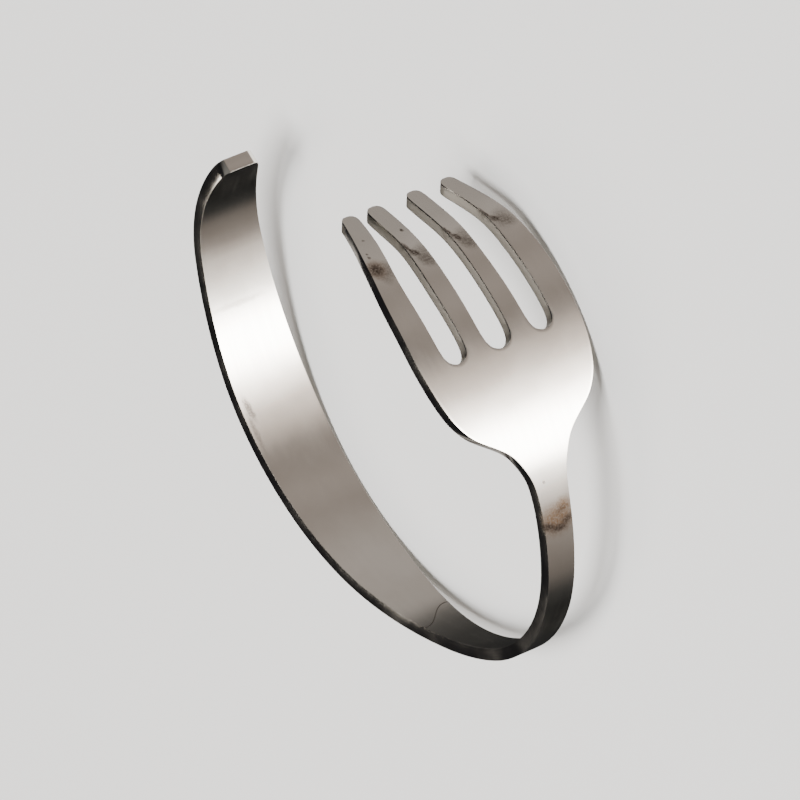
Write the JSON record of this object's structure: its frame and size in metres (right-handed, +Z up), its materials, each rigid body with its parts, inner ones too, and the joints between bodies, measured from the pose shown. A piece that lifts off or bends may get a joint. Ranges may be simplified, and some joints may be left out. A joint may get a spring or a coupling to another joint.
{
  "type": "cuff bracelet",
  "caption": "Open cuff bracelet made from a table fork bent into an oval, with the tines and the handle's end facing each other across the gap.",
  "frame": {"origin": "centre of the bounding box at floor level, with the cuff resting on its lower rim", "axes": "+Z up from the floor, +X towards the fork's head, +Y towards the gap between the tines and the handle's end"},
  "size_m": [0.0604, 0.0718, 0.0245],
  "materials": {
    "polished_steel": "polished stainless steel with fine scratches"
  },
  "bodies": {
    "root": {"fork_cuff": "polished_steel"}
  },
  "joints": []
}
